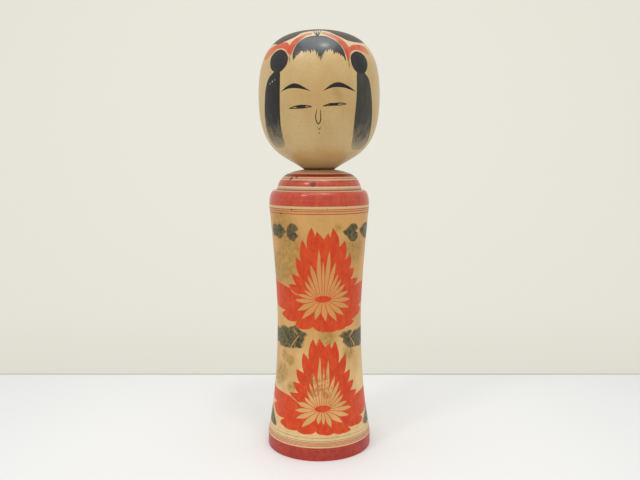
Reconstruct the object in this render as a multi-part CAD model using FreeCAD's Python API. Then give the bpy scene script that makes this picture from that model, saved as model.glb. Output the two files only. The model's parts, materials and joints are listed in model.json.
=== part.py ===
"""A turned wooden doll in two pieces: a body, and a head whose neck spigot snaps into the body and turns.

Both pieces are solids of revolution about the Z axis, in millimetres. The doll stands on Z = 0, its axis
is the Z axis, and its painted face looks towards -Y. An outline point is (radius, height).
"""
import FreeCAD, Part
import math
import os

# The doll as a whole
OVERALL_HEIGHT = 302.0
BASE_RADIUS = 38.1
WAIST_RADIUS = 30.9
SHOULDER_RADIUS = 36.15
HEAD_RADIUS = 43.4
NECK_RADIUS = 11.0

# Heights on the body
RIM_TOP = 9.5
WAIST_HEIGHT = 96.0
SHOULDER_HEIGHT = 176.0
STEP_HEIGHT = 189.9
BODY_TOP = 204.4

# Underside of the body: a dished floor, with the marks of the lathe's four-clawed chuck in it
EDGE_ROUND = 0.6
FOOT_INNER_RADIUS = 29.0
DISH_RADIUS = 27.0
DISH_DEPTH = 1.2
CLAW_COUNT = 4
CLAW_LENGTH = 8.0
CLAW_WIDTH = 2.2
CLAW_DEPTH = 3.0
CLAW_CENTRE_RADIUS = 11.0
CENTRE_MARK_RADIUS = 1.5

# Groove at the foot of the dome
GROOVE_OUTER_RADIUS = 31.3
GROOVE_BOTTOM_RADIUS = 30.7
GROOVE_DEPTH = 0.7
DOME_FOOT_RADIUS = 30.9

# Head
SEAT_GAP = 0.1
HEAD_WIDEST_HEIGHT = 256.5

# Inner poles of the outlines: a curve leaves its start towards the first and meets its end from the second
CROWN_POLES = ((33.0, OVERALL_HEIGHT), (HEAD_RADIUS, 288.0))
JAW_POLES = ((HEAD_RADIUS, 215.5), (25.1, 214.8))
SKIRT_POLES = ((35.0, 26.0), (WAIST_RADIUS, 52.0))
CHEST_POLES = ((WAIST_RADIUS, 120.0), (34.2, 156.0))
SHOULDER_POLES = ((36.7, 182.0), (36.2, STEP_HEIGHT))
DOME_POLES = ((29.3, 195.5), (28.5, 202.2))

# Neck joint: the spigot's bulge is wider than the mouth it was driven through, so the head stays captive
SPIGOT_RADIUS = 8.0
BULGE_RADIUS = 8.6
SPIGOT_END_RADIUS = 7.2
RUNNING_CLEARANCE = 0.06
SPIGOT_NECK_LENGTH = 6.0
SPIGOT_TAPER_LENGTH = 2.5
SPIGOT_BULGE_LENGTH = 8.0
SPIGOT_END_LENGTH = 1.5
BORE_END_GAP = 1.5
MOUTH_CHAMFER = 0.8


def at(radius, height):
    """A point of an outline, in the XZ plane."""
    return FreeCAD.Vector(radius, 0.0, height)


def line(start, end):
    """A straight edge between two outline points."""
    return Part.LineSegment(at(*start), at(*end)).toShape()


def curve(*poles):
    """A smooth edge: the Bezier curve with these poles."""
    bezier = Part.BezierCurve()
    bezier.setPoles([at(*pole) for pole in poles])
    return bezier.toShape()


def polyline(points):
    """Straight edges through the points, in order."""
    return [line(start, end) for start, end in zip(points, points[1:])]


def turned(edges):
    """The solid that a closed outline sweeps in one turn about the Z axis."""
    outline = Part.Face(Part.Wire(edges))
    return outline.revolve(at(0.0, 0.0), FreeCAD.Vector(0, 0, 1), 360.0)


def neck_outline(top, clearance):
    """The stepped outline shared by the spigot and its bore, from the mouth down."""
    neck_end = top - SPIGOT_NECK_LENGTH
    bulge_start = neck_end - SPIGOT_TAPER_LENGTH
    bulge_end = bulge_start - SPIGOT_BULGE_LENGTH
    return [
        (SPIGOT_RADIUS + clearance, top),
        (SPIGOT_RADIUS + clearance, neck_end),
        (BULGE_RADIUS + clearance, bulge_start),
        (BULGE_RADIUS + clearance, bulge_end),
    ]


def make_head():
    """The head and its neck spigot, turned from one piece of wood."""
    seat = BODY_TOP + SEAT_GAP
    spigot = neck_outline(seat, 0.0)
    tip_height = spigot[-1][1] - SPIGOT_END_LENGTH
    crown = curve((0.0, OVERALL_HEIGHT), *CROWN_POLES, (HEAD_RADIUS, HEAD_WIDEST_HEIGHT))
    jaw = curve((HEAD_RADIUS, HEAD_WIDEST_HEIGHT), *JAW_POLES, (NECK_RADIUS, seat))
    stem = polyline([(NECK_RADIUS, seat)] + spigot + [(SPIGOT_END_RADIUS, tip_height), (0.0, tip_height)])
    axis = line((0.0, tip_height), (0.0, OVERALL_HEIGHT))
    return turned([crown, jaw] + stem + [axis])


def make_claw_marks():
    """Four radial slots and a centre mark, left in the underside by the lathe's chuck."""
    slot = Part.makeBox(CLAW_LENGTH, CLAW_WIDTH, CLAW_DEPTH + DISH_DEPTH)
    slot.translate(FreeCAD.Vector(CLAW_CENTRE_RADIUS - CLAW_LENGTH / 2, -CLAW_WIDTH / 2, 0.0))
    marks = [Part.makeCylinder(CENTRE_MARK_RADIUS, CLAW_DEPTH + DISH_DEPTH)]
    for number in range(CLAW_COUNT):
        turn = 45.0 + number * 360.0 / CLAW_COUNT
        marks.append(slot.rotated(at(0.0, 0.0), FreeCAD.Vector(0, 0, 1), turn))
    return marks


def make_body():
    """The waisted body with its stepped shoulder dome and the bore that holds the head."""
    rounding = EDGE_ROUND * (1.0 - math.sqrt(0.5))
    foot = polyline([(0.0, DISH_DEPTH), (DISH_RADIUS, DISH_DEPTH), (FOOT_INNER_RADIUS, 0.0),
                     (BASE_RADIUS - EDGE_ROUND, 0.0)])
    foot_edge = Part.Arc(at(BASE_RADIUS - EDGE_ROUND, 0.0), at(BASE_RADIUS - rounding, rounding),
                         at(BASE_RADIUS, EDGE_ROUND)).toShape()
    rim = line((BASE_RADIUS, EDGE_ROUND), (BASE_RADIUS, RIM_TOP))
    skirt = curve((BASE_RADIUS, RIM_TOP), *SKIRT_POLES, (WAIST_RADIUS, WAIST_HEIGHT))
    chest = curve((WAIST_RADIUS, WAIST_HEIGHT), *CHEST_POLES, (SHOULDER_RADIUS, SHOULDER_HEIGHT))
    shoulder = curve((SHOULDER_RADIUS, SHOULDER_HEIGHT), *SHOULDER_POLES, (GROOVE_OUTER_RADIUS, STEP_HEIGHT))
    groove = polyline([(GROOVE_OUTER_RADIUS, STEP_HEIGHT), (GROOVE_BOTTOM_RADIUS, STEP_HEIGHT - GROOVE_DEPTH),
                       (DOME_FOOT_RADIUS, STEP_HEIGHT)])
    dome = curve((DOME_FOOT_RADIUS, STEP_HEIGHT), *DOME_POLES, (NECK_RADIUS, BODY_TOP))
    bore = neck_outline(BODY_TOP, RUNNING_CLEARANCE)
    bore_radius = bore[0][0]
    bore_floor = bore[-1][1] - SPIGOT_END_LENGTH - BORE_END_GAP
    mouth = [(NECK_RADIUS, BODY_TOP), (bore_radius + MOUTH_CHAMFER, BODY_TOP),
             (bore_radius, BODY_TOP - MOUTH_CHAMFER)]
    chamber = bore[1:] + [(bore[-1][0], bore_floor), (0.0, bore_floor)]
    axis = line((0.0, bore_floor), (0.0, DISH_DEPTH))
    outside = foot + [foot_edge, rim, skirt, chest, shoulder] + groove + [dome]
    blank = turned(outside + polyline(mouth + chamber) + [axis])
    return blank.cut(make_claw_marks())


os.makedirs("parts", exist_ok=True)
for node, make in (("head", make_head), ("body", make_body)):
    shape = make()
    shape.exportStep(f"parts/{node}.step")
    print(node, "valid" if shape.isValid() else "NOT VALID", f"{shape.Volume / 1000.0:.1f} cm3")
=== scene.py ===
"""The looks of a turned wooden doll: waxed wood, brushed ink and dye, on a pale table.

Lengths in the making are millimetres, and become metres where a mesh is made. A place on a turned surface is
(angle, way): the angle in degrees round the axis from the front, positive towards the doll's left (+X), and
the way in millimetres, which is the distance from the crown over the head, or the height on the body.
"""
import json
import math

import bmesh
import bpy
import numpy as np
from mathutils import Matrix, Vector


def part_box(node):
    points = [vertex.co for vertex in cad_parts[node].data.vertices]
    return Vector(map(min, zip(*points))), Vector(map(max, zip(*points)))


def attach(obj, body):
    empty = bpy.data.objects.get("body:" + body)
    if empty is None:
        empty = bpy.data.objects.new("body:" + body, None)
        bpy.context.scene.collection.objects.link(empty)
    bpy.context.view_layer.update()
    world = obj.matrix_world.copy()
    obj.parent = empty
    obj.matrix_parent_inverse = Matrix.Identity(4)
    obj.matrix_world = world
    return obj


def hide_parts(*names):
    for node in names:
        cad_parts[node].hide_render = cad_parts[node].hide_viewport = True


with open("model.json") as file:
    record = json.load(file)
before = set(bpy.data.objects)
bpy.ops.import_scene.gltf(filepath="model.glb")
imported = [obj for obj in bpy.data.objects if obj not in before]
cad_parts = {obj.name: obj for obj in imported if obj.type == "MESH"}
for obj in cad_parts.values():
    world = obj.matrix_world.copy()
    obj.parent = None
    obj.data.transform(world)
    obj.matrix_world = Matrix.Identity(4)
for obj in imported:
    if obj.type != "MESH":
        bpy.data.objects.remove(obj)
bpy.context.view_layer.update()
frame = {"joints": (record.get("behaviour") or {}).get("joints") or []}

MM = 0.001

# ------------ sizes from the frame

HEAD_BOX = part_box("head")
BODY_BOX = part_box("body")
HEAD_TOP = HEAD_BOX[1].z / MM
HEAD_FOOT = HEAD_BOX[0].z / MM
HEAD_RADIUS = HEAD_BOX[1].x / MM
BODY_TOP = BODY_BOX[1].z / MM
BASE_RADIUS = BODY_BOX[1].x / MM
SEAT = frame["joints"][0]["pos_m"][2] / MM  # where the neck meets the body
WAIST_RADIUS, WAIST_HEIGHT = 30.9, 96.0
SHOULDER_RADIUS, SHOULDER_HEIGHT = 36.15, 176.0
NECK_RADIUS = 11.0
RIM_TOP = 9.5
STEP_HEIGHT = 189.9
DOME_FOOT = 30.9

# The spigot under the head, the bulge that keeps it in, and the bore that it turns in.
SPIGOT_RADIUS, BULGE_RADIUS = 8.0, 8.6
FIT_GAP = 0.06
BORE_CHAMFER = 0.8
BORE_END = BODY_TOP - 19.5
# The hollow underside, with the marks that a lathe's chuck left in it.
RECESS = 1.2
CHUCK_DEPTH = 3.0
CHUCK_CENTRE = 1.5
SLOT_PLACE, SLOT_REACH, SLOT_HALF_WIDTH = 11.0, 4.0, 1.1

# The steps round a turned piece, and how far a film of paint stands proud of the wood and reaches into it.
TURN_STEPS = 288
LIFT = 0.03
SINK = 0.05

# ------------ lines


def bezier(*poles, steps=60):
    """The cubic Bezier curve with four poles: the sum of each pole times its Bernstein weight."""
    t = np.linspace(0.0, 1.0, steps)[:, None]
    p = np.array(poles, float)
    return (1 - t) ** 3 * p[0] + 3 * (1 - t) ** 2 * t * p[1] + 3 * (1 - t) * t**2 * p[2] + t**3 * p[3]


def through(*points, steps=48):
    """A smooth line through the points: a Catmull-Rom cubic in each span."""
    p = np.array(points, float)
    p = np.vstack([2 * p[0] - p[1], p, 2 * p[-1] - p[-2]])
    where = np.linspace(0.0, len(points) - 1.0, steps)
    span = np.minimum(where.astype(int), len(points) - 2)
    t = (where - span)[:, None]
    a, b, c, d = p[span], p[span + 1], p[span + 2], p[span + 3]
    return b + 0.5 * t * (c - a + t * (2 * a - 5 * b + 4 * c - d + t * (3 * (b - c) + d - a)))


def runs(*points, longest=1.5):
    """Straight runs through the points, divided so that no piece is longer than the longest."""
    lines = []
    for start, end in zip(points, points[1:]):
        count = max(1, math.ceil(math.dist(start, end) / longest))
        share = np.arange(count)[:, None] / count
        lines.append(np.array(start) + share * (np.array(end) - start))
    return np.vstack(lines + [[points[-1]]])


def joined(*lines):
    """One line from several, with the points that repeat where two meet left out."""
    line = np.vstack(lines)
    keep = np.r_[True, np.linalg.norm(np.diff(line, axis=0), axis=1) > 1e-6]
    return line[keep]


CROWN = bezier((0, HEAD_TOP), (33.0, HEAD_TOP), (HEAD_RADIUS, 288.0), (HEAD_RADIUS, 256.5), steps=70)
JAW = bezier((HEAD_RADIUS, 256.5), (HEAD_RADIUS, 215.5), (25.1, 214.8), (NECK_RADIUS, SEAT), steps=70)
SKIRT = bezier((BASE_RADIUS, RIM_TOP), (35.0, 26.0), (WAIST_RADIUS, 52.0), (WAIST_RADIUS, WAIST_HEIGHT))
CHEST = bezier((WAIST_RADIUS, WAIST_HEIGHT), (WAIST_RADIUS, 120.0), (34.2, 156.0),
               (SHOULDER_RADIUS, SHOULDER_HEIGHT))
SHOULDER = bezier((SHOULDER_RADIUS, SHOULDER_HEIGHT), (36.7, 182.0), (36.2, STEP_HEIGHT),
                  (31.3, STEP_HEIGHT), steps=36)
DOME = bezier((DOME_FOOT, STEP_HEIGHT), (29.3, 195.5), (28.5, 202.2), (NECK_RADIUS, BODY_TOP), steps=50)

SPIGOT = ((SPIGOT_RADIUS, SEAT), (SPIGOT_RADIUS, SEAT - 6.0), (BULGE_RADIUS, SEAT - 8.5),
          (BULGE_RADIUS, SEAT - 16.5), (7.2, HEAD_FOOT), (0, HEAD_FOOT))
HEAD_OUTLINE = joined(CROWN, JAW, runs((NECK_RADIUS, SEAT), *SPIGOT))
BORE_RADIUS, POCKET_RADIUS = SPIGOT_RADIUS + FIT_GAP, BULGE_RADIUS + FIT_GAP
BORE = ((NECK_RADIUS, BODY_TOP), (BORE_RADIUS + BORE_CHAMFER, BODY_TOP),
        (BORE_RADIUS, BODY_TOP - BORE_CHAMFER), (BORE_RADIUS, BODY_TOP - 6.0),
        (POCKET_RADIUS, BODY_TOP - 8.5), (POCKET_RADIUS, BORE_END), (0, BORE_END))
FOOT = ((29.0, 0.0), (BASE_RADIUS - 0.6, 0.0), (BASE_RADIUS - 0.18, 0.18), (BASE_RADIUS, 0.6),
        (BASE_RADIUS, RIM_TOP))
CHUCK_REACH = 16.0
BODY_OUTLINE = joined(runs((0, RECESS), (CHUCK_REACH, RECESS), longest=0.25),
                      runs((CHUCK_REACH, RECESS), (27.0, RECESS), *FOOT), SKIRT, CHEST, SHOULDER,
                      runs((31.3, STEP_HEIGHT), (30.7, STEP_HEIGHT - 0.7), (DOME_FOOT, STEP_HEIGHT)),
                      DOME, runs(*BORE))[::-1]


class Turned:
    """The outside of a turned piece, on which paint is placed by angle and way."""

    def __init__(self, line, way):
        ahead = np.gradient(line, axis=0)
        ahead /= np.linalg.norm(ahead, axis=1)[:, None]
        self.way, self.line = way, line
        self.out = np.stack([-ahead[:, 1], ahead[:, 0]], 1)

    def radius(self, way):
        """The radius at each way."""
        return np.interp(way, self.way, self.line[:, 0])

    def place(self, spot, lift):
        """The point at (angle, way), moved out along the surface's normal by the lift."""
        angle, way = np.radians(spot[..., 0]), spot[..., 1]
        r, z = (np.interp(way, self.way, self.line[:, i]) for i in (0, 1))
        out_r, out_z = (np.interp(way, self.way, self.out[:, i]) for i in (0, 1))
        r = r + lift * out_r
        return np.stack([r * np.sin(angle), -r * np.cos(angle), z + lift * out_z], -1)


def head_surface():
    """The head from the crown down: the way is the length of the outline so far."""
    line = joined(CROWN, JAW)
    way = np.r_[0.0, np.cumsum(np.linalg.norm(np.diff(line, axis=0), axis=1))]
    return Turned(line, way)


def body_surface():
    """The body's outside from the base up: the way is the height."""
    line = joined(runs(*FOOT[1:]), SKIRT, CHEST, SHOULDER, DOME)
    line = line[np.r_[True, np.diff(np.maximum.accumulate(line[:, 1])) > 1e-6]]
    surface = Turned(line, line[:, 1])
    surface.out = -surface.out
    return surface


HEAD = head_surface()
BODY = body_surface()

# ------------ meshes


def chuck_marks(points):
    """How far the underside is cut in, at each point: four slots and a centre mark, 0 elsewhere."""
    right, back = points[..., 0], points[..., 1]
    marks = np.hypot(right, back) < CHUCK_CENTRE
    for turn in np.radians((45.0, 135.0, 225.0, 315.0)):
        along = right * np.cos(turn) + back * np.sin(turn)
        aside = back * np.cos(turn) - right * np.sin(turn)
        marks |= (np.abs(along - SLOT_PLACE) < SLOT_REACH) & (np.abs(aside) < SLOT_HALF_WIDTH)
    return CHUCK_DEPTH * (marks & (points[..., 2] < RECESS + 0.1))


def swept(line):
    """A line of (radius, height) swept round the axis: the points, each one's number, and the next one's."""
    turn = np.radians(np.arange(TURN_STEPS) * 360.0 / TURN_STEPS)
    r, z = line[:, 0, None], line[:, 1, None]
    points = np.stack([r * np.sin(turn), -r * np.cos(turn), z + 0 * turn], -1)
    index = np.arange(len(line) * TURN_STEPS).reshape(-1, TURN_STEPS)
    return points.reshape(-1, 3), index, np.roll(index, -1, axis=1)


def turned_mesh(name, outline, cut=None):
    """A solid of revolution: an outline swept round, closed where it meets the axis, and then cut in."""
    rings, index, after = swept(outline[1:-1])
    quads = np.stack([index[:-1], index[1:], after[1:], after[:-1]], -1).reshape(-1, 4)
    top, bottom = index.size, index.size + 1
    caps = np.vstack([np.stack([index[0] * 0 + top, index[0], after[0]], -1),
                      np.stack([index[0] * 0 + bottom, after[-1], index[-1]], -1)])
    points = np.vstack([rings, [[0, 0, outline[0, 1]], [0, 0, outline[-1, 1]]]])
    if cut:
        points[:, 2] += cut(points)
    mesh = bpy.data.meshes.new(name)
    mesh.from_pydata(points * MM, [], quads.tolist() + caps.tolist())
    return mesh


def shell(surface, spots, lift):
    """A thin closed film: a grid of spots lifted off the surface, the same grid sunk in it, and a rim."""
    rows, columns = spots.shape[:2]
    index = np.arange(rows * columns).reshape(rows, columns)
    quads = np.stack([index[:-1, :-1], index[1:, :-1], index[1:, 1:], index[:-1, 1:]], -1).reshape(-1, 4)
    rim = np.concatenate([index[0, :-1], index[:-1, -1], index[-1, :0:-1], index[:0:-1, 0]])
    after = np.roll(rim, -1)
    walls = np.stack([rim, after, after + index.size, rim + index.size], -1)
    points = np.concatenate([surface.place(spots, lift), surface.place(spots, -SINK)]).reshape(-1, 3)
    along, across = np.meshgrid(np.linspace(0, 1, rows), np.linspace(-1, 1, columns), indexing="ij")
    brushed = np.stack([along, across, 0 * along], -1).reshape(-1, 3)
    return points, np.vstack([quads, quads[:, ::-1] + index.size, walls]), np.vstack([brushed, brushed])


def round_shell(surface, spots, lift):
    """A thin closed film from rings of spots that draw in to one centre: the same rings sunk, and a rim."""
    rows, count = spots.shape[:2]
    index = np.arange(rows * count).reshape(rows, count)
    after = np.roll(index, -1, axis=1)
    quads = np.stack([index[:-1], after[:-1], after[1:], index[1:]], -1).reshape(-1, 4)
    walls = np.stack([index[0], index[0] + index.size, after[0] + index.size, after[0]], -1)
    points = np.concatenate([surface.place(spots, lift), surface.place(spots, -SINK)]).reshape(-1, 3)
    out = np.repeat(np.linspace(1.0, 0.0, rows), count)
    brushed = np.stack([0 * out, out, 0 * out], -1)
    return points, np.vstack([quads, quads[:, ::-1] + index.size, walls]), np.vstack([brushed, brushed])


def film_mesh(name, shells):
    """One mesh from several films, with coinciding points merged and every face turned outwards."""
    points = np.vstack([s[0] for s in shells]) * MM
    starts = np.cumsum([0] + [len(s[0]) for s in shells[:-1]])
    faces = np.vstack([s[1] + start for s, start in zip(shells, starts)])
    mesh = bpy.data.meshes.new(name)
    mesh.from_pydata(points, [], faces.tolist())
    mesh.attributes.new("stroke", "FLOAT_VECTOR", "POINT").data.foreach_set(
        "vector", np.vstack([s[2] for s in shells]).ravel())
    work = bmesh.new()
    work.from_mesh(mesh)
    bmesh.ops.remove_doubles(work, verts=work.verts, dist=1e-6)
    bmesh.ops.dissolve_degenerate(work, edges=work.edges, dist=1e-7)
    bmesh.ops.recalc_face_normals(work, faces=work.faces)
    work.to_mesh(mesh)
    work.free()
    return mesh


def add_piece(name, mesh, material, body):
    """Puts a mesh in the scene, smooth but for its sharp edges, riding on a body."""
    mesh.shade_smooth()
    mesh.set_sharp_from_angle(angle=math.radians(35.0))
    mesh.materials.append(material)
    piece = bpy.data.objects.new(name, mesh)
    bpy.context.collection.objects.link(piece)
    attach(piece, body)
    return piece


# ------------ brush shapes, as grids of (angle, way)


def between(first, second, across):
    """The patch between two lines of equally many spots: straight across from one to the other."""
    share = np.linspace(0.0, 1.0, across)[None, :, None]
    return first[:, None] * (1 - share) + second[:, None] * share


def stroke(surface, line, half_width, across):
    """A brush stroke: a line of spots, with its half width in mm at each spot laid off square to it."""
    scale = np.stack([np.radians(surface.radius(line[:, 1])), np.ones(len(line))], 1)
    ahead = np.gradient(line, axis=0) * scale
    ahead /= np.maximum(np.linalg.norm(ahead, axis=1), 1e-9)[:, None]
    square = np.stack([-ahead[:, 1], ahead[:, 0]], 1) * half_width[:, None] / scale
    return between(line - square, line + square, across)


def taper(steps, peak, sharpness):
    """A width that is 0 at both ends and 1 at the peak: a sine of the way along, raised to the sharpness."""
    t = np.linspace(0.0, 1.0, steps)
    return np.sin(np.pi * t ** (math.log(0.5) / math.log(peak))) ** sharpness


def fan(outline, centre, rings=24):
    """The patch inside a closed outline: rings that draw in to a centre which sees all of the outline."""
    share = np.linspace(1.0, 0.0, rings + 1)[:, None, None]
    return np.array(centre) + (outline - np.array(centre)) * share


def loop(*points, steps=96):
    """A smooth closed line through the points."""
    p = np.array(points, float)
    line = through(*np.vstack([p[-2:], p, p[:2]]), steps=steps * (len(p) + 3) // len(p))
    span = (len(line) - 1) / (len(p) + 3)
    return line[int(round(2 * span)):int(round((len(p) + 2) * span))]


def disc(surface, centre, size, steps=48):
    """A filled ellipse with these half sizes in mm."""
    turn = np.arange(steps) * 2 * np.pi / steps
    scale = np.array([np.radians(surface.radius(centre[1])), 1.0])
    rim = np.stack([np.cos(turn) * size[0], np.sin(turn) * size[1]], -1) / scale
    return fan(np.array(centre) + rim, centre, 6)


def from_crown(spots):
    """Spots as (right, back) in mm from the crown, laid out as if the head were flat, as (angle, way)."""
    right, back = spots[..., 0], spots[..., 1]
    return np.stack([np.degrees(np.arctan2(right, -back)), np.hypot(right, back)], -1)


def band(surface, low, high, steps):
    """A painted ring: its cross-section is a thin closed loop on the surface, swept once round the axis."""
    way = np.linspace(low, high, steps)
    spots = np.stack([0 * way, way], -1)
    section = np.vstack([surface.place(spots, LIFT), surface.place(spots, -SINK)[::-1]])
    points, index, after = swept(section[:, 1:] * (-1.0, 1.0))
    below, beyond = np.roll(index, -1, axis=0), np.roll(after, -1, axis=0)
    return points, np.stack([index, after, beyond, below], -1).reshape(-1, 4), np.zeros((index.size, 3))


# ------------ materials


def srgb(red, green, blue):
    """A colour given as it looks, 0 to 255, as the linear values that a shader takes."""
    share = np.array([red, green, blue]) / 255.0
    linear = np.where(share <= 0.04045, share / 12.92, ((share + 0.055) / 1.055) ** 2.4)
    return (*linear.tolist(), 1.0)


class Value:
    """A number that varies over a surface. Arithmetic on it adds the Math nodes that work it out."""

    def __init__(self, finish, socket):
        self.finish, self.socket = finish, socket

    def __add__(self, other):
        return self.finish.math("ADD", self, other)

    def __sub__(self, other):
        return self.finish.math("SUBTRACT", self, other)

    def __rsub__(self, other):
        return self.finish.math("SUBTRACT", other, self)

    def __mul__(self, other):
        return self.finish.math("MULTIPLY", self, other)

    __radd__, __rmul__ = __add__, __mul__


class Finish:
    """A material under construction."""

    def __init__(self, name, roughness=0.4, coat=0.3, shine=0.5, coat_roughness=0.16):
        self.material = bpy.data.materials.new(name)
        self.material.use_nodes = True
        self.nodes, self.links = self.material.node_tree.nodes, self.material.node_tree.links
        self.shader = self.nodes["Principled BSDF"]
        for key, value in {"Roughness": roughness, "Coat Weight": coat, "Coat Roughness": coat_roughness,
                           "Specular IOR Level": shine}.items():
            self.shader.inputs[key].default_value = value
        self.position = self.node("ShaderNodeTexCoord", output="Object")
        parts = self.node("ShaderNodeSeparateXYZ", sockets={"Vector": self.position}).socket.node
        self.x, self.y, self.z = (Value(self, s) for s in parts.outputs)

    def node(self, kind, settings=None, sockets=None, output=0):
        """Adds a node, with its settings made first and then its sockets filled, and gives one output."""
        node = self.nodes.new(kind)
        for key, value in (settings or {}).items():
            setattr(node, key, value)
        for key, value in (sockets or {}).items():
            self.fill(self.find(node.inputs, key), value)
        return Value(self, self.find(node.outputs, output))

    @staticmethod
    def find(sockets, key):
        """A socket by its place, its name, or its identifier."""
        if isinstance(key, int) or key in sockets:
            return sockets[key]
        return next(s for s in sockets if s.identifier == key)

    def fill(self, socket, value):
        """Links a varying value to a socket, or sets a plain one on it."""
        if isinstance(value, Value):
            self.links.new(value.socket, socket)
        else:
            socket.default_value = value

    def math(self, operation, *values):
        """One step of arithmetic on varying or plain values."""
        return self.node("ShaderNodeMath", {"operation": operation}, dict(enumerate(values)))

    def mix(self, share, first, second):
        """A colour between two, by a share from 0 to 1."""
        return self.node("ShaderNodeMix", {"data_type": "RGBA"},
                         {"Factor_Float": share, "A_Color": first, "B_Color": second}, "Result_Color")

    def step(self, value, low, high):
        """0 below the low value, 1 above the high one, and a smooth step between."""
        return self.node("ShaderNodeMapRange", {"interpolation_type": "SMOOTHSTEP"},
                         {"Value": value, "From Min": low, "From Max": high})

    def rise(self, low, high):
        """0 below the low height in mm and 1 above the high one, or the reverse if low is the higher."""
        return self.step(self.z, low * MM, high * MM)

    def noise(self, size, detail=2.0, stretch=(1.0, 1.0, 1.0), shift=0.0):
        """Cloudy noise whose patches are about the size across, in mm, longer where the stretch is more."""
        scale = tuple(1.0 / (size * MM * s) for s in stretch)
        vector = self.node("ShaderNodeVectorMath", {"operation": "MULTIPLY_ADD"},
                           {0: self.position, 1: scale, 2: (shift, shift, shift)})
        return self.node("ShaderNodeTexNoise", sockets={"Vector": vector, "Scale": 1.0, "Detail": detail})

    def rings(self, size, detail=2.0):
        """Noise that varies only with height: the marks a tool or brush leaves on turning work."""
        return self.node("ShaderNodeTexNoise", {"noise_dimensions": "1D"},
                         {"W": self.z * (1.0 / (size * MM)), "Scale": 1.0, "Detail": detail})

    def spot(self, centre, size):
        """1 at a point of the piece, in mm, falling smoothly to 0 at the size in mm from it."""
        away = self.node("ShaderNodeVectorMath", {"operation": "DISTANCE"},
                         {0: self.position, 1: tuple(c * MM for c in centre)}, "Value")
        return 1 - self.step(away, 0.0, size * MM)

    def stroke(self):
        """How far along the brush stroke a point is, 0 to 1, and how far across it, -1 to 1."""
        vector = self.node("ShaderNodeAttribute", {"attribute_name": "stroke"}, output="Vector")
        parts = self.node("ShaderNodeSeparateXYZ", sockets={"Vector": vector}).socket.node
        return Value(self, parts.outputs[0]), Value(self, parts.outputs[1])

    def done(self, colour, roughness=None, height=None, depth=0.02):
        """Links the colour, roughness and surface height (over the depth in mm) to the shader."""
        self.fill(self.shader.inputs["Base Color"], colour)
        if roughness is not None:
            self.fill(self.shader.inputs["Roughness"], roughness)
        if height is not None:
            bump = self.node("ShaderNodeBump",
                             sockets={"Height": height, "Distance": depth * MM, "Strength": 1.0})
            self.fill(self.shader.inputs["Normal"], bump)
        return self.material


# Marks on the wood and ink, each as (its centre in mm, its size in mm).
GRIME_SPOTS = [((-19, -28, 143), 25), ((-27, -21, 166), 18), ((-29, -12, 134), 20), ((-26, -18, 60), 11),
               ((22, -24, 75), 9), ((26, -23, 150), 15), ((-21, -24, 69), 6), ((6, -31, 87), 10),
               ((-29, -14, 54), 9), ((-20, -26, 50), 6), ((-25, -19, 72), 6), ((12, -30, 165), 6)]
BLOTCHES = [((-4.5, -31.8, 57.5), 7), ((2.0, -32.2, 52), 8), ((-4.5, -32.6, 47.5), 6), ((4.8, -31.8, 59), 6),
            ((5.0, -32.6, 46.5), 5)]
FLUSH = ((0, -43, 250), 27)
SMUDGES = [((11.0, -41.9, 256.0), 5), ((13.5, -41.2, 252.5), 5)]
NICKS = [((-31.6, -29.5, 263.7), 0.9), ((-33.2, -27.7, 262.5), 0.7), ((-29.8, -31.4, 264.6), 0.6)]
STAINS = [((-4.2, -29.0, 194.8), 3.8), ((-19.6, -18.6, 198.2), 3.0), ((-15.5, -20.5, 198.8), 2.0),
          ((-19.0, -30.9, 177.3), 1.3), ((-26.7, -24.3, 174.2), 1.5)]
# Tints up the body, each as (the heights between which it comes in, its strength, its colour). The last, the
# darker brown on the dome next to the neck, is painted shade under the head.
BODY_TINTS_AND_SHADE = [((188.9, 189.2), 0.65, (176, 104, 74)), ((190.8, 192.0), 0.75, (238, 194, 156)),
              ((197.0, 198.5), 0.6, (216, 128, 98)), ((201.2, 202.5), 0.6, (170, 104, 64))]


def marked(finish, spots):
    """How strongly a point is marked, where each mark is (centre, size)."""
    return sum((finish.spot(*spot) for spot in spots[1:]), start=finish.spot(*spots[0]))


def stained(finish, tone):
    """The body's colour with what has soaked in over wood and dye alike: oily blotches and dark stains."""
    patches = finish.step(finish.noise(3.0, 5.0, shift=3.0), 0.34, 0.6)
    oily = finish.step(marked(finish, BLOTCHES) * patches, 0.1, 0.7)
    tone = finish.mix(oily * 0.62, tone, srgb(174, 94, 36))
    specks = finish.step(finish.noise(1.4, 4.0, stretch=(1, 1, 1.4), shift=13.0), 0.6, 0.74)
    tone = finish.mix(specks * 0.34, tone, srgb(122, 76, 34))
    return finish.mix(finish.step(marked(finish, STAINS), 0.25, 0.6) * 0.8, tone, srgb(106, 42, 20))


def aged_head(finish, tone):
    """The head's colour with its wear: a pale crown, mottling, a flush and smudges; and painted shade that
    darkens the neck under the head.
    """
    tone = finish.mix(finish.rise(280.0, 292.0) * 0.5, tone, srgb(226, 212, 182))
    mottle = finish.step(finish.noise(1.7, 4.0, stretch=(1.5, 1.5, 1), shift=4.0), 0.42, 0.68)
    tone = finish.mix(mottle * 0.14, tone, srgb(172, 130, 70))
    tone = finish.mix(finish.spot(*FLUSH) * 0.3, tone, srgb(184, 128, 46))
    tone = finish.mix(marked(finish, SMUDGES) * 0.26, tone, srgb(146, 98, 44))
    # Painted shade: the neck under the head is darkened.
    return finish.mix(finish.rise(206.5, 204.5), tone, srgb(112, 66, 34))


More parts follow.
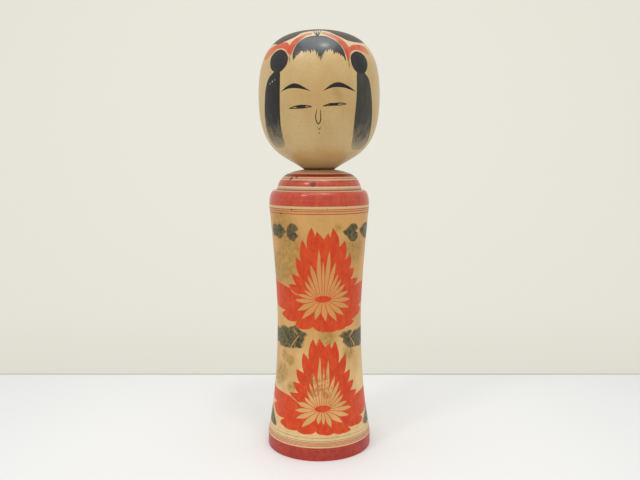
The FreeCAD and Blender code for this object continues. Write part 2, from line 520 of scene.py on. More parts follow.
def aged_body(finish, tone, cloud):
    """The body's colour with its wear: soiled by hands, tinted on the dome, paler beside the broad bands;
    with painted shade, partly dirt, in the groove at the dome's foot, and painted shade on the dome under the
    head.
    """
    soiled = finish.step(cloud, 0.45, 0.8) * 0.12 + marked(finish, GRIME_SPOTS) * 1.5
    patches = finish.step(finish.noise(2.4, 6.0, stretch=(1, 1, 1.3), shift=3.0), 0.36, 0.64)
    soiled = finish.math("MINIMUM", soiled, 1.0) * (patches * 0.5 + 0.5)
    tone = finish.mix(soiled * 0.76, tone, srgb(162, 120, 38))
    fleck = finish.step(finish.noise(1.1, 3.0, shift=9.0), 0.56, 0.7)
    tone = finish.mix(soiled * fleck * 0.4, tone, srgb(112, 84, 26))
    # The tints include painted shade on the dome under the head.
    for heights, strength, colour in BODY_TINTS_AND_SHADE:
        tone = finish.mix(finish.rise(*heights) * strength, tone, srgb(*colour))
    paler = finish.rise(24.0, 14.0) * 0.45 + finish.rise(177.6, 178.1) * 0.45
    tone = finish.mix(paler, tone, srgb(226, 204, 158))
    # Painted shade, partly dirt, in the groove where the dome meets the shoulder.
    groove_shade_and_dirt = finish.rise(189.85, 190.05) * finish.rise(190.9, 190.5)
    return stained(finish, finish.mix(groove_shade_and_dirt * 0.75, tone, srgb(92, 50, 24)))


def bare_wood(finish, part, clean=False):
    """The colour of the waxed wood: long fibres, fine turning rings, yellowed and soiled by handling, and on
    the head painted shade under the chin.
    """
    fibre = finish.noise(0.7, 3.0, stretch=(1, 1, 40))
    turning = finish.rings(0.5)
    cloud = finish.noise(14.0, 3.0, stretch=(1, 1, 1.6))
    if part == "head":
        # Painted shade under the chin: the head's wood is darker low on the jaw.
        tone = finish.mix(finish.rise(203.0, 221.0), srgb(198, 164, 116), srgb(208, 175, 115))
    else:
        upper = finish.step(finish.z + cloud * 0.05, 0.065, 0.13)
        low, high = ((228, 172, 104), (220, 150, 78)) if clean else ((238, 198, 134), (221, 164, 92))
        tone = finish.mix(upper, srgb(*low), srgb(*high))
    tone = finish.mix(finish.step(cloud, 0.3, 0.7) * 0.4, tone, srgb(190, 144, 78))
    fibrous = 0.06 if part == "head" else 0.12
    tone = finish.mix(finish.step(fibre, 0.35, 0.75) * fibrous, tone, srgb(160, 112, 56))
    tone = finish.mix(finish.step(turning, 0.45, 0.8) * 0.12, tone, srgb(234, 202, 146))
    return aged_head(finish, tone) if part == "head" else aged_body(finish, tone, cloud)


def wood_finish(part, clean=False):
    """Bare waxed wood for the head, the body, or the fresher wood of the petals on the body."""
    if part == "head":
        finish = Finish("head_wood", roughness=0.42, coat=0.42, coat_roughness=0.3)
    else:
        finish = Finish("petal_wood" if clean else "body_wood", roughness=0.42, coat=0.12, shine=0.4)
    grain = finish.noise(0.5, 2.0, stretch=(1, 1, 30)) * 0.5 + finish.rings(0.35) * 0.5
    handled = finish.noise(22.0, 3.0, shift=7.0)
    return finish.done(bare_wood(finish, part, clean), roughness=handled * 0.25 + 0.3, height=grain)


def dye_finish(name, part, dark, light, wear=0.15, ringed=False, coat=0.1, dry_start=0.0, dry_end=0.0):
    """Dye brushed on the wood: two tones of it, thin where the brush ran dry, so that wood shows through."""
    finish = Finish(name, roughness=0.4, coat=coat, shine=0.3)
    pool = finish.noise(3.5, 4.0, stretch=(1, 1, 1.8))
    streak = finish.rings(0.6, 3.0) if ringed else finish.noise(0.6, 3.0, stretch=(1, 1, 18))
    fine = 0.4 if ringed else 0.2
    paleness = finish.step(pool, 0.32, 0.68) * (1 - fine) + finish.step(streak, 0.35, 0.7) * fine
    tone = finish.mix(paleness, srgb(*dark), srgb(*light))
    thin = finish.step(finish.noise(2.2, 5.0, shift=11.0) * 0.5 + streak * 0.5, 0.52, 0.7) * wear
    wood = bare_wood(finish, part)
    tone = finish.mix(thin, tone, wood)
    if part == "body":
        tone = stained(finish, tone)
    if dry_start or dry_end:
        along = finish.stroke()[0]
        dry = finish.step(along, 0.45, 0.0) * dry_start + finish.step(along, 0.6, 1.0) * dry_end
        tone = finish.mix(dry, tone, wood)
    return finish.done(tone, roughness=pool * 0.2 + 0.32, height=streak)


def ink_finish(name, fade=0.0, tone=(38, 36, 34), coat=0.1):
    """Black ink: even and matt, with brush marks, and running dry towards the end of a long stroke."""
    finish = Finish(name, roughness=0.42, coat=coat, shine=0.35, coat_roughness=0.24)
    cloud = finish.noise(4.0, 4.0, stretch=(1, 1, 2.5))
    marks = finish.rings(0.9, 3.0)
    colour = finish.mix(finish.step(cloud, 0.35, 0.75) * 0.5, srgb(*tone), srgb(*(c + 24 for c in tone)))
    if fade:
        along, across = finish.stroke()
        hairs = finish.noise(1.1, 3.0, stretch=(1, 1, 3), shift=6.0)
        reach = along + marks * 0.04 + cloud * 0.24 + hairs * 0.2 + across * across * 0.05
        rubbed = finish.mix(0.55, bare_wood(finish, "head"), srgb(146, 143, 130))
        colour = finish.mix(finish.step(reach, 0.77, 1.15) * fade, colour, rubbed)
        colour = finish.mix(marked(finish, NICKS), colour, srgb(206, 202, 190))
    return finish.done(colour, roughness=cloud * 0.2 + 0.36, height=marks, depth=0.015)


def leaf_finish(name):
    """Green-grey dye dabbed thinly: mottled, and gone to bare wood unevenly towards the edge of each dab."""
    finish = Finish(name, roughness=0.42, coat=0.05, shine=0.35)
    ragged = finish.noise(2.6, 4.0, shift=5.0) - 0.5
    away = finish.stroke()[1] + ragged * 0.45
    mottle = finish.step(finish.noise(2.4, 4.0, shift=2.0), 0.36, 0.68)
    brushed = finish.step(finish.noise(0.7, 2.0, stretch=(1, 1, 6), shift=4.0), 0.5, 0.75)
    tone = finish.mix(mottle, srgb(60, 57, 33), srgb(90, 84, 49))
    cover = (1 - finish.step(away, 0.84, 1.06)) * (mottle * -0.12 + brushed * -0.16 + 1.0)
    return finish.done(finish.mix(cover, bare_wood(finish, "body"), tone))


WOOD = {part: wood_finish(part) for part in ("head", "body")}
PETAL_WOOD = wood_finish("body", clean=True)
PETAL_RED = dye_finish("petal_red", "body", (208, 52, 4), (222, 76, 14), wear=0.15)
RIBBON_RED = dye_finish("ribbon_red", "head", (188, 64, 40), (198, 98, 68), wear=0.3, dry_start=0.45)
WING_RED = dye_finish("wing_red", "head", (200, 64, 38), (210, 98, 66), wear=0.3, dry_end=0.4)
RING_RED = dye_finish("ring_red", "body", (184, 50, 24), (204, 78, 46), wear=0.15, ringed=True, coat=0.6)
BASE_RED = dye_finish("base_red", "body", (162, 38, 25), (188, 64, 48), wear=0.12, ringed=True)
STRIPE_RED = dye_finish("stripe_red", "body", (136, 24, 10), (170, 46, 30), wear=0.12, ringed=True)
FINE_RED = dye_finish("fine_ring_red", "body", (176, 70, 44), (194, 92, 62), wear=0.2, ringed=True)
RING_INK = dye_finish("ring_ink", "body", (140, 112, 70), (164, 134, 86), wear=0.5, ringed=True)
MOUTH_RED = dye_finish("mouth_red", "head", (156, 76, 36), (178, 96, 52), wear=0.2)
HAIR_INK = ink_finish("hair_ink", coat=0.75)
KNOB_INK = ink_finish("knob_ink", tone=(34, 30, 26))
CROWN_INK = ink_finish("crown_ink", tone=(68, 54, 46))
# The two side locks are one ink in two tones: the left lock's lighter tone is painted light from the lamp on
# that side, and the right lock's darker tone is painted shade.
SHADED_RIGHT_LOCK_INK = ink_finish("right_lock_ink_painted_shade", fade=0.92, tone=(32, 27, 20))
LIT_LEFT_LOCK_INK = ink_finish("left_lock_ink_painted_light", fade=0.92, tone=(56, 52, 40))
FACE_INK = ink_finish("face_ink", tone=(26, 16, 8))
WISP_INK = ink_finish("wisp_ink", tone=(124, 100, 62))
LEAF_GREEN = leaf_finish("leaf_green")


def paint(name, surface, material, slot, *grids, fans=(), lift=LIFT):
    """A painted piece: each grid or fan of spots becomes a film on the surface."""
    body = "head" if surface is HEAD else "body"
    films = [shell(surface, grid, lift) for grid in grids] + [round_shell(surface, f, lift) for f in fans]
    add_piece(name, film_mesh(name, films), material, body)


def ring_piece(name, material, slot, *bands):
    """A piece of one or more painted rings on the body."""
    add_piece(name, film_mesh(name, [band(BODY, *b) for b in bands]), material, "body")


# ------------ turned wood

head_wood = add_piece("head_wood", turned_mesh("head_wood", HEAD_OUTLINE), WOOD["head"], "head")
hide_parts("head")
body_mesh = turned_mesh("body_wood", BODY_OUTLINE, cut=chuck_marks)
body_wood = add_piece("body_wood", body_mesh, WOOD["body"], "body")
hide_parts("body")

# ------------ hair


def fringe_grid():
    """The forelock: an arch above, and below it two scallops cut into fine hanging points of hair."""
    steps = 639
    arch = through((-24.8, 53.2), (-26, 48.7), (-25.2, 44.6), (-23, 40.3), (-18.5, 36.6), (-12.2, 34.2),
                   (-2.8, 33.2), (7, 33.8), (13.5, 35.9), (19.5, 39.1), (23, 43.2), (25, 47.4), (25.6, 53.9),
                   steps=steps)
    brow = through((-24.8, 53.2), (-22.2, 50), (-19.5, 48.5), (-16.8, 47), (-12.8, 46), (-9, 46), (-5, 46.8),
                   (-2, 48.8), (1, 52.7), (3.5, 48.8), (6.5, 46.8), (10.5, 46), (14.3, 46.6), (18.2, 47.6),
                   (21.8, 49.7), (25.6, 53.9), steps=steps)
    t = np.linspace(0.0, 1.0, steps)
    hair_points, longest, raised = 27, 5.2, 1.8
    point = (1 - np.abs(2 * np.mod(t * hair_points, 1.0) - 1)) ** 1.3
    uneven = 0.75 + 0.35 * np.sin(41 * t) * np.sin(17 * t + 1)
    brow[:, 1] += (longest * point * uneven - raised) * np.sin(np.pi * t) ** 0.4
    return between(arch, brow, 22)


def patch(outer, inner, steps=60, across=14):
    """The patch between two smooth edges, each given by its points."""
    return between(through(*outer, steps=steps), through(*inner, steps=steps), across)


paint("fringe", HEAD, HAIR_INK, "black_ink", fringe_grid())
paint("side_knobs", HEAD, KNOB_INK, "black_ink", lift=1.5 * LIFT, fans=[
    fan(loop((-42.5, 44.2), (-35, 46.6), (-30.9, 50.2), (-30.2, 53.4), (-32, 57.1), (-37.2, 60.2),
             (-44.2, 60), (-50.3, 57.5), (-53.5, 53.2), (-54, 48.9), (-50, 45.5)), (-42, 53)),
    fan(loop((38.8, 46), (46.2, 46.6), (51.2, 49.6), (52.2, 53.9), (49, 58.4), (44.2, 61), (36.8, 60.8),
             (32.2, 57.5), (30.8, 53.4), (32, 49.2)), (41.5, 53.5)),
])
paint("side_lock_right", HEAD, SHADED_RIGHT_LOCK_INK, "black_ink", patch(
    ((-42, 57.4), (-46.5, 60.3), (-53, 64), (-57.2, 70.1), (-59.5, 78.3), (-61.8, 86.4), (-64.5, 94.9),
     (-67, 103.4), (-67.5, 109.4), (-62, 112.4), (-54, 112.9)),
    ((-42, 57.4), (-38, 60.4), (-37.3, 65.4), (-37.2, 71.2), (-37.5, 79.3), (-38.3, 88.4), (-39.5, 97.8),
     (-40.5, 104.8), (-42, 109.3), (-46, 112), (-54, 112.9)), steps=90, across=26))
paint("side_lock_left", HEAD, LIT_LEFT_LOCK_INK, "black_ink", patch(
    ((41.5, 57.4), (47.2, 61.1), (52, 65), (55, 73.1), (57.2, 81), (59.5, 88.8), (62.8, 97.3), (67.5, 105.4),
     (69.5, 110.9), (65, 113.9), (55, 114.6)),
    ((41.5, 57.4), (36.4, 60.7), (35.6, 66.4), (35.4, 73.4), (35, 81.8), (34.6, 88.4), (35.2, 97.8),
     (38, 106.7), (40.5, 111.3), (45.5, 114.1), (55, 114.6)), steps=90, across=26))


def crown_stroke(points, width, peak=0.5, steps=24):
    """A brush stroke over the top of the head, laid out flat round the crown and then wrapped on it."""
    line = through(*points, steps=steps)
    ahead = np.gradient(line, axis=0)
    ahead /= np.linalg.norm(ahead, axis=1)[:, None]
    square = np.stack([-ahead[:, 1], ahead[:, 0]], 1) * width * taper(steps, peak, 0.8)[:, None]
    return from_crown(between(line - square, line + square, 7))


paint("crown_hair", HEAD, CROWN_INK, "black_ink", fans=[from_crown(fan(loop(
    (-2.9, -24.4), (-7.7, -24.6), (-12, -25.5), (-16.5, -28.6), (-21.1, -28.8), (-26, -27.3), (-30.9, -24),
    (-36, -8), (-38, 5), (-34, 18), (-25, 28.5), (-13, 33), (0, 30), (13, 33), (25, 28.5), (34, 18), (38, 5),
    (32.4, -16.5), (29.5, -23), (25.6, -27.7), (21, -30.6), (16.3, -30.6), (11.1, -28.9), (6.1, -25.4),
    (1.9, -24), steps=400), (0, -2), 30))])
TUFT = -1.2
paint("crown_tuft", HEAD, HAIR_INK, "black_ink", *(
    crown_stroke(((TUFT + 0.06 * aside, -34.4), (TUFT + 0.5 * aside, -31.0 + 0.08 * abs(aside)),
                  (TUFT + aside, -24.0)), 0.36, peak=0.55) for aside in (-2.8, -1.0, 0.8, 2.6)))
paint("hair_wisps", HEAD, WISP_INK, "black_ink",
      crown_stroke(((-24.6, -43), (-25, -46), (-26, -48.5)), 0.45),
      crown_stroke(((24.9, -47), (26.5, -49), (27.6, -51.5)), 0.45))
paint("ribbons", HEAD, RIBBON_RED, "red_dye",
      patch(((-9.8, 29), (-18.2, 29.9), (-24.8, 33.4), (-29.2, 36.6), (-31.4, 39.8), (-31.7, 42.5),
             (-30.8, 45.6), (-28.2, 49.7)),
            ((-9.2, 31.4), (-15.5, 33.1), (-19.2, 35.9), (-22.5, 39.3), (-25.2, 43), (-26.6, 46.4),
             (-27.6, 49), (-28.2, 49.7))),
      patch(((4.2, 27.4), (15, 29.8), (23.6, 34), (28, 37.8), (31, 41.5), (31.9, 44.8), (30.5, 49.9),
             (27.8, 54.3)),
            ((3.5, 30.8), (10.6, 33.4), (17.8, 37), (22.1, 41.2), (25, 45.4), (26.5, 49.6), (27.2, 53.2),
             (27.8, 54.3))), lift=0.5 * LIFT)
paint("ribbon_wings", HEAD, WING_RED, "red_dye",
      patch(((-28.6, 43), (-33.5, 40.8), (-38, 38.6), (-44.5, 38.2), (-52, 39), (-62, 40), (-73, 42),
             (-78.5, 46.5)),
            ((-28.2, 49.7), (-31.2, 48), (-35, 45.4), (-40, 43.5), (-45.5, 43.1), (-50.5, 43.8), (-57, 47.4),
             (-66, 50.5))),
      patch(((29.4, 44.5), (33, 42.6), (36.8, 41.2), (43.5, 40.1), (52.5, 39.8), (59.5, 40.9), (63.4, 44)),
            ((28.8, 53.4), (30.4, 49.6), (33, 46.6), (37, 45.1), (41.5, 44.6), (48, 45.2), (60, 47))))

# ------------ face

paint("brows", HEAD, FACE_INK, "black_ink", patch(
    ((-36.3, 74), (-30.8, 70.8), (-25.2, 68.9), (-22, 68.6), (-17.5, 69.5), (-12.5, 71.6), (-7, 74.2)),
    ((-36.3, 74), (-32.5, 72.8), (-28.2, 71.9), (-22.8, 71.7), (-17.5, 72.1), (-11.8, 73), (-7, 74.2)),
    steps=48, across=7), patch(
    ((3, 74), (8, 71), (12.2, 68.9), (17.2, 68), (22.5, 68.9), (28, 70.7), (34.5, 73.6)),
    ((3, 74), (7.3, 72.6), (12.2, 71.5), (17.2, 71.2), (23.2, 71.5), (29, 72.6), (34.5, 73.6)),
    steps=48, across=7))


def line_grid(points, width, peak=0.5, steps=40):
    """A thin brushed line on the face, finer towards its ends."""
    half_width = 0.5 * width * (0.25 + 0.75 * taper(steps, peak, 0.5))
    return stroke(HEAD, through(*points, steps=steps), half_width, 5)


paint("eyes", HEAD, FACE_INK, "black_ink",
      line_grid(((-27.9, 84.8), (-23, 83.8), (-16.2, 83.1), (-10.5, 83.4), (-6.2, 83.9)), 0.85),
      line_grid(((-27.7, 84.9), (-20.8, 84.8), (-13.2, 84.7), (-6.8, 84.1)), 0.7),
      line_grid(((3.2, 83.6), (8, 82.5), (15.2, 81.7), (21.2, 81.5), (25.1, 82)), 0.8),
      line_grid(((3.4, 83.7), (9.5, 83.2), (18.2, 82.8), (24.6, 82.1)), 0.65),
      fans=[disc(HEAD, (-16.4, 83.8), (3.3, 0.98)), disc(HEAD, (12.4, 82.3), (3.5, 0.82))])
paint("nose", HEAD, FACE_INK, "black_ink",
      line_grid(((-2.2, 85.8), (-2.2, 87.4), (-3.1, 89.6), (-2.8, 92.6), (-1.7, 94.6), (-0.5, 95.2),
                 (0.9, 94), (1.6, 91.2), (1.2, 88), (1.1, 85.8)), 0.7, peak=0.55))
paint("mouth", HEAD, MOUTH_RED, "red_dye",
      line_grid(((-1.8, 97.7), (-0.6, 98.4), (0.2, 98.8), (0.9, 98.3), (1.8, 97.5)), 0.6),
      line_grid(((0.2, 98.4), (0.2, 99.6)), 0.6), fans=[disc(HEAD, (0.1, 101.5), (0.45, 0.6), 16)])

# ------------ flowers

# An outline's points go once round: tips and the valleys between them. The third number is how far the edge
# that ends there swells outwards, as a share of its length. Bare petals are given by their tips.
UPPER_HEART = (5, 114.8)
UPPER_OUTLINE = (
    (5.5, 157, 0), (-2.5, 162.5, 0), (-4.2, 159, 0.05), (-8.5, 165.3, 0), (-13.8, 149.8, 0.1),
    (-19.5, 156.8, 0), (-21.8, 140.9, 0.1), (-28.5, 144.1, 0), (-24.5, 130.2, 0.1), (-36, 132.1, 0),
    (-29.8, 124.5, 0.1), (-42.2, 124.3, 0), (-40.5, 121.3, 0), (-70, 124.2, 0.03), (-92, 126, 0.03),
    (-88, 113, 0.1), (-75.5, 107.3, 0.1), (-61, 105.4, 0.05), (-48.8, 104.5, 0), (-59.3, 101.6, 0.1),
    (-51.2, 99.3, 0.1), (-40.5, 97.6, 0.08), (-29.8, 98.2, 0.05), (-33.2, 96, 0.1), (-27.5, 93.4, 0.15),
    (-17.5, 93, 0.08), (-8, 95, 0.1), (-4.2, 93, 0.1), (7.5, 91.4, 0.1), (24, 92.1, 0.08), (38, 93.7, 0.1),
    (53.8, 96.5, 0.08), (46.2, 98.6, 0), (59, 100.1, 0.1), (76, 103.6, 0.1), (64.5, 107.3, 0.05),
    (85.8, 110, 0.05), (96, 117, 0.1), (98, 127, 0.1), (78.5, 124.5, 0.03), (49.8, 122.3, 0.03),
    (58.5, 128, 0.1), (43.5, 127.8, 0), (48.8, 135.6, 0.1), (40.8, 135.4, 0), (41, 146, 0.1), (32.8, 142, 0),
    (31.3, 155.8, 0.1), (24.5, 151.1, 0), (15.5, 164.9, 0.1), (12.8, 158, 0), (10.5, 161.5, 0),
)
UPPER_BARE = (
    (-0.5, 150), (12.5, 149.2), (4.8, 141.5), (-10.5, 139.4), (20.2, 140.9), (-14.3, 131.5), (24.2, 132.4),
    (-18, 127.1), (28.5, 128.6), (-19, 121), (34.5, 124.7), (-28, 117.6), (40, 119.3), (-33, 113.3),
    (44.5, 113.5), (-29.5, 105.9), (42.8, 107.5), (-23, 100.1), (33.8, 102.4), (-5.5, 99.9), (23.8, 98.4),
    (8.5, 98.8),
)
UPPER_SLIT = ((-40.5, 121), (-33.2, 118.2), (-27, 117.2))
LOWER_HEART = (4.3, 36.8)
LOWER_OUTLINE = (
    (7.8, 80.6, 0), (0.5, 86.7, 0), (-3.5, 81.5, 0.05), (-8, 86.4, 0), (-13.2, 71.6, 0.1), (-20.8, 76.2, 0),
    (-19.8, 61.7, 0.1), (-30.5, 63.8, 0), (-24.8, 53.8, 0.1), (-35, 54.3, 0), (-26.5, 46.9, 0.1),
    (-40, 46.2, 0), (-35.8, 43.2, 0), (-75.5, 45, 0.03), (-92, 46.5, 0.03), (-82, 37.3, 0.1), (-64, 35.6, 0),
    (-74, 32.6, 0.05), (-68, 30, 0.1), (-54.8, 26.5, 0.1), (-43.2, 26.7, 0), (-52.5, 23.3, 0.1),
    (-45.5, 21.3, 0.1), (-35, 20, 0.08), (-25.8, 20.6, 0.05), (-20.8, 19.1, 0.1), (-13.8, 18.8, 0.1),
    (-3.7, 21.1, 0.12), (-1.2, 19.4, 0.1), (4.2, 18.8, 0.1), (16.8, 19.5, 0.12), (27.5, 18.5, 0.12),
    (38.8, 19.6, 0.08), (35, 22.5, 0), (45.8, 21.7, 0.1), (62.8, 23.8, 0.12), (57.7, 27, 0.05),
    (74.2, 29.3, 0.05), (90, 35.5, 0.08), (98, 45.5, 0.1), (83.2, 44.6, 0.03), (49.2, 42.8, 0.03),
    (54.2, 46.7, 0.1), (42.2, 47.3, 0), (49.5, 54.3, 0.1), (38.8, 53.6, 0), (43.5, 62.5, 0.1),
    (33.8, 60.4, 0), (36.2, 74.7, 0.1), (25.8, 68.1, 0), (21, 84.5, 0.1), (16.2, 79.4, 0), (13.5, 83.3, 0),
)
LOWER_BARE = (
    (0.8, 73.6), (12, 71.4), (6.2, 66.4), (-8, 62), (20.2, 59.7), (-12.2, 54.8), (25.8, 55.5), (-14.8, 49.1),
    (28.2, 49.1), (-17.8, 44.3), (30.8, 45.3), (-27.8, 40.2), (35.8, 40.2), (-29.8, 34.5), (42.5, 35.6),
    (-28.2, 28.9), (37.8, 30), (-20.5, 23.3), (28, 25.8), (-1.2, 26), (14, 23.5), (5, 25.6),
)
LOWER_SLIT = ((-38, 43.4), (-32, 42), (-27.5, 40.6))
EYE_SIZE = (5.9, 2.4)


def edged(points, scale, steps=12):
    """A closed outline of bowed edges: each runs to the next point by way of a pole set off outwards."""
    p = np.array(points, float)
    end, swell = p[:, :2] * scale, p[:, 2]
    start = np.roll(end, 1, axis=0)
    ahead = end - start
    pole = 0.5 * (start + end) + 2 * swell[:, None] * np.stack([ahead[:, 1], -ahead[:, 0]], 1)
    t = (np.arange(steps) / steps)[None, :, None]
    line = (1 - t) ** 2 * start[:, None] + 2 * t * (1 - t) * pole[:, None] + t**2 * end[:, None]
    return line.reshape(-1, 2) / scale


def off_line(spots, start, end):
    """The distance of each spot from the straight run between two points."""
    run = end - start
    share = np.clip((spots - start) @ run / (run @ run), 0.0, 1.0)
    return np.linalg.norm(spots - start - share[:, None] * run, axis=1)


def bare_fan(heart, tips, scale, widest=2.2, gap=0.36, steps=40):
    """The petals left bare. Each runs from a root beside the eye, is as wide as its neighbours let it be, up
    to the widest, and narrows to a point at its tip."""
    tips = (np.array(tips) - heart) * scale
    heading = np.arctan2(tips[:, 0], tips[:, 1])
    tips, heading = tips[np.argsort(heading)], np.sort(heading)
    count = len(tips)
    round_eye = (np.arange(count) - np.argmin(np.abs(heading))) * 2 * np.pi / count
    roots = 0.8 * np.stack([np.sin(round_eye) * EYE_SIZE[0], np.cos(round_eye) * EYE_SIZE[1]], 1)
    t = np.linspace(0.0, 1.0, steps)[:, None]
    narrowing = 1 - np.clip((t[:, 0] - 0.45) / 0.55, 0.0, 1.0) ** 1.6
    petals = []
    for number in range(count):
        before, after = (number - 1) % count, (number + 1) % count
        run = tips[number] - roots[number]
        line = roots[number] + run * t
        right = np.array([run[1], -run[0]]) / np.linalg.norm(run)
        sides = []
        for side in (before, after):
            room = 0.5 * (off_line(line, roots[side], tips[side]) - gap)
            sides.append(right * (np.clip(room, 0.0, widest) * narrowing)[:, None])
        petals.append(heart + between(line - sides[0], line + sides[1], 6) / scale)
    return petals


def flower(name, heart, outline, bare, slit):
    """A layered flower: one red shape cut into petals, bare petals and a slit left on it, and a red eye."""
    scale = np.array([math.radians(BODY.radius(heart[1])), 1.0])
    paint(name + "_red", BODY, PETAL_RED, "red_dye", fans=[fan(edged(outline, scale), heart, 32)])
    petals = bare_fan(heart, bare, scale)
    thin = stroke(BODY, through(*slit, steps=24), 0.32 * taper(24, 0.5, 0.4), 3)
    paint(name + "_bare_petals", BODY, PETAL_WOOD, "wood", *petals, thin, lift=2.5 * LIFT)
    turn = np.arange(60) * np.pi / 30
    bulge = np.sin(turn) * np.abs(np.sin(turn)) ** 0.4
    rim = np.stack([np.cos(turn) * EYE_SIZE[0], bulge * EYE_SIZE[1] + 0.25 * np.cos(turn)], 1)
    paint(name + "_eye", BODY, PETAL_RED, "red_dye", fans=[fan(heart + rim / scale, heart, 6)], lift=4 * LIFT)


flower("upper_flower", UPPER_HEART, UPPER_OUTLINE, UPPER_BARE, UPPER_SLIT)
flower("lower_flower", LOWER_HEART, LOWER_OUTLINE, LOWER_BARE, LOWER_SLIT)

# ------------ leaves


def leaf(centre, *outline):
    """A leaf dabbed on with a broad brush: a smooth closed outline, filled in from its centre."""
    return fan(loop(*outline), centre, 14)


paint("upper_leaves", BODY, LEAF_GREEN, "green_dye", lift=0.5 * LIFT, fans=[
    leaf((-57, 162), (-74, 162.5), (-66, 166.5), (-57, 165.8), (-51, 167), (-46, 164.5), (-40.5, 161.8),
         (-46, 159), (-53, 156), (-62, 157.5), (-69, 157.5)),
    leaf((-33.5, 162), (-41, 161.8), (-38, 165.8), (-32, 168), (-26.5, 166.5), (-24, 163.5), (-28, 161.8),
         (-24.5, 159), (-29, 155.2), (-36, 155.2), (-40.5, 158)),
    leaf((42, 161.5), (27.5, 161.8), (33, 164.6), (40, 167.4), (47.5, 166.8), (51.5, 164), (47.5, 161.8),
         (52, 160), (49.5, 155.3), (40.5, 154.8), (33, 158.8)),
    leaf((72, 161.5), (54, 162.3), (61, 166), (74, 167.5), (88, 163), (86, 157), (74, 155), (62, 157.5)),
])
paint("middle_leaves", BODY, LEAF_GREEN, "green_dye", lift=0.5 * LIFT, fans=[
    leaf((-45, 86), (-88, 88), (-78, 91), (-68, 90.5), (-56.2, 93.7), (-44.5, 93), (-37.5, 94.7), (-32.8, 95),
         (-24.8, 92.4), (-14.5, 90.2), (-17.8, 87.3), (-20, 83.6), (-21, 80.3), (-26, 78.8), (-37.2, 77.9),
         (-49, 77.3), (-62.5, 77.1), (-72, 79), (-84, 79)),
    leaf((52, 84), (26, 88.3), (31, 90.2), (38.2, 90.8), (45.2, 91.1), (51, 90), (56, 90.5), (61.5, 90.2),
         (74, 90.5), (88, 90), (94, 84), (86, 78), (74, 76.2), (60.5, 77.3), (53.2, 77.3), (43, 78.2),
         (36.2, 80.6), (32.5, 83), (33.2, 85.4), (27.5, 87)),
])
paint("leaf_veins", BODY, PETAL_WOOD, "wood", lift=1.5 * LIFT, *(
    stroke(BODY, through(*vein, steps=24), 0.36 * taper(24, 0.6, 0.4), 5) for vein in (
        ((-25.5, 88), (-28.5, 87.3), (-33.5, 83.9), (-37.2, 81.2), (-40.5, 77.6)),
        ((-36.5, 92.8), (-33, 90.5), (-29, 88.4)),
        ((59, 91.2), (54, 90), (49, 88.3), (43.6, 86.4)),
        ((43.6, 86.6), (49, 83), (53, 80), (56.5, 77)))))
paint("low_leaves", BODY, LEAF_GREEN, "green_dye", lift=0.5 * LIFT, fans=[
    leaf((-75, 23.5), (-88, 31), (-76, 29), (-66, 24.5), (-58.5, 20.5), (-61, 18.3), (-70, 18.5),
         (-80, 19), (-91, 23)),
    leaf((77, 23.5), (88, 31), (77, 29), (68, 24.5), (61, 21.2), (66, 18.6), (76, 17.5), (86, 18), (93, 24)),
])

# ------------ rings

# Each ring is (its lower edge, its upper edge, the spots across it).
ring_piece("base_band", BASE_RED, "red_dye", (0.05, 9.6, 64))
ring_piece("base_fine_rings", FINE_RED, "red_dye", (10.5, 10.9, 3), (11.3, 11.7, 3), (12.1, 12.5, 3),
           (12.9, 13.3, 3))
ring_piece("base_dark_rings", RING_INK, "black_ink", (14.0, 14.3, 3), (16.2, 16.5, 3))
ring_piece("shoulder_band", RING_RED, "red_dye", (179.5, 189.3, 40))
ring_piece("shoulder_fine_rings", FINE_RED, "red_dye", (177.1, 177.6, 3), (175.8, 176.3, 3),
           (174.0, 174.6, 3))
ring_piece("dome_band", RING_RED, "red_dye", (192.9, 197.1, 16), (198.0, 198.4, 3), (191.3, 191.55, 3))
ring_piece("dome_stripe", STRIPE_RED, "red_dye", (199.5, 201.3, 12))

# ------------ stage, light and camera

# These sizes are metres. The wall's own faint glow keeps it pale.
TABLE_EDGE, TABLE_REACH = 0.167, 2.5
WALL_AWAY, WALL_FOOT, WALL_TOP, WALL_REACH = 2.0, -1.3, 2.6, 4.0
WALL_GLOW = (0.24, 0.21, 0.16, 1.0)


def stage_piece(name, colour, corners, glow=(0.0, 0.0, 0.0, 1.0)):
    """A flat plain surface, which is not part of the doll."""
    mesh = bpy.data.meshes.new(name)
    mesh.from_pydata(corners, [], [(0, 1, 2, 3)])
    finish = Finish(name, roughness=0.6, coat=0.0)
    finish.shader.inputs["Emission Color"].default_value = glow
    finish.shader.inputs["Emission Strength"].default_value = 1.0
    mesh.materials.append(finish.done(colour(finish)))
    piece = bpy.data.objects.new(name, mesh)
    bpy.context.collection.objects.link(piece)


def table_colour(finish):
    """Pale and brighter near the doll, a painted pool of light, with a slightly darker edge where the table
    top ends, a painted shadow line.
    """
    # Painted light: the table is brighter within about 420 mm of the doll.
    light_pool = finish.spot((0, 0, 0), 420.0)
    top = finish.mix(light_pool, srgb(226, 224, 222), srgb(240, 237, 234))
    # Painted shadow: a thin darker line along the table's far edge.
    edge = finish.step(finish.y, TABLE_EDGE - 0.005, TABLE_EDGE - 0.0035)
    return finish.mix(edge, top, srgb(190, 186, 176))


def wall_colour(finish):
    """Pale and slightly warm, and a little darker low down: painted shade where the wall shows just above the
    table's edge.
    """
    return finish.mix(finish.step(finish.z, -0.6, -0.3), srgb(222, 218, 209), srgb(230, 227, 217))


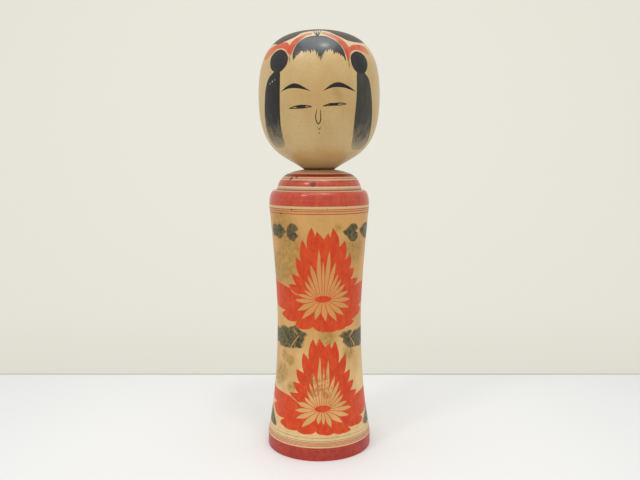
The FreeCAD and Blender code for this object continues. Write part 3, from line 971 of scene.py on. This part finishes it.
TABLE_TOP = -LIFT * MM
stage_piece("table", table_colour, [
    (-TABLE_REACH, -TABLE_REACH, TABLE_TOP), (TABLE_REACH, -TABLE_REACH, TABLE_TOP),
    (TABLE_REACH, TABLE_EDGE, TABLE_TOP), (-TABLE_REACH, TABLE_EDGE, TABLE_TOP)])
stage_piece("wall", wall_colour, [
    (-WALL_REACH, WALL_AWAY, WALL_FOOT), (WALL_REACH, WALL_AWAY, WALL_FOOT),
    (WALL_REACH, WALL_AWAY, WALL_TOP), (-WALL_REACH, WALL_AWAY, WALL_TOP)], WALL_GLOW)

LAMP_COLOUR = (0.96, 0.98, 1.0)
ROOM_COLOUR, ROOM_STRENGTH = (0.92, 0.97, 1.0, 1.0), 0.68


def add_light(name, azimuth, elevation, distance, size, power):
    """A square soft light: degrees to the right and up, then metres away, metres wide, and watts."""
    turn, tilt = math.radians(azimuth), math.radians(elevation)
    lamp = bpy.data.lights.new(name, "AREA")
    lamp.energy, lamp.size, lamp.color = power, size, LAMP_COLOUR
    light = bpy.data.objects.new(name, lamp)
    middle = 0.5 * HEAD_TOP * MM
    light.location = (distance * math.cos(tilt) * math.sin(turn), -distance * math.cos(tilt) * math.cos(turn),
                      middle + distance * math.sin(tilt))
    light.rotation_euler = (math.radians(90.0) - tilt, 0.0, turn)
    bpy.context.collection.objects.link(light)


add_light("left_lamp", -43.0, 46.0, 1.5, 0.2, 2.4)
add_light("right_lamp", 21.0, 70.0, 1.5, 0.2, 2.4)
add_light("overhead", 0.0, 78.0, 1.2, 1.0, 7.0)

world = bpy.data.worlds.new("soft_room")
bpy.context.scene.world = world
world.use_nodes = True
world.node_tree.nodes["Background"].inputs["Color"].default_value = ROOM_COLOUR
world.node_tree.nodes["Background"].inputs["Strength"].default_value = ROOM_STRENGTH

# The camera's place in metres, its tilt down in degrees, and its film's width and focal length in mm.
CAMERA_ASIDE, CAMERA_DISTANCE, CAMERA_HEIGHT = 0.0006, 0.506, 0.2094
CAMERA_TILT = 6.38
FILM_WIDTH, FOCAL_LENGTH = 36.0, 38.97
lens = bpy.data.cameras.new("camera")
lens.sensor_width, lens.lens = FILM_WIDTH, FOCAL_LENGTH
camera = bpy.data.objects.new("camera", lens)
camera.location = (CAMERA_ASIDE, -CAMERA_DISTANCE, CAMERA_HEIGHT)
camera.rotation_euler = (math.radians(90.0 - CAMERA_TILT), 0.0, 0.0)
bpy.context.collection.objects.link(camera)
bpy.context.scene.camera = camera
bpy.context.scene.view_settings.view_transform = "Standard"
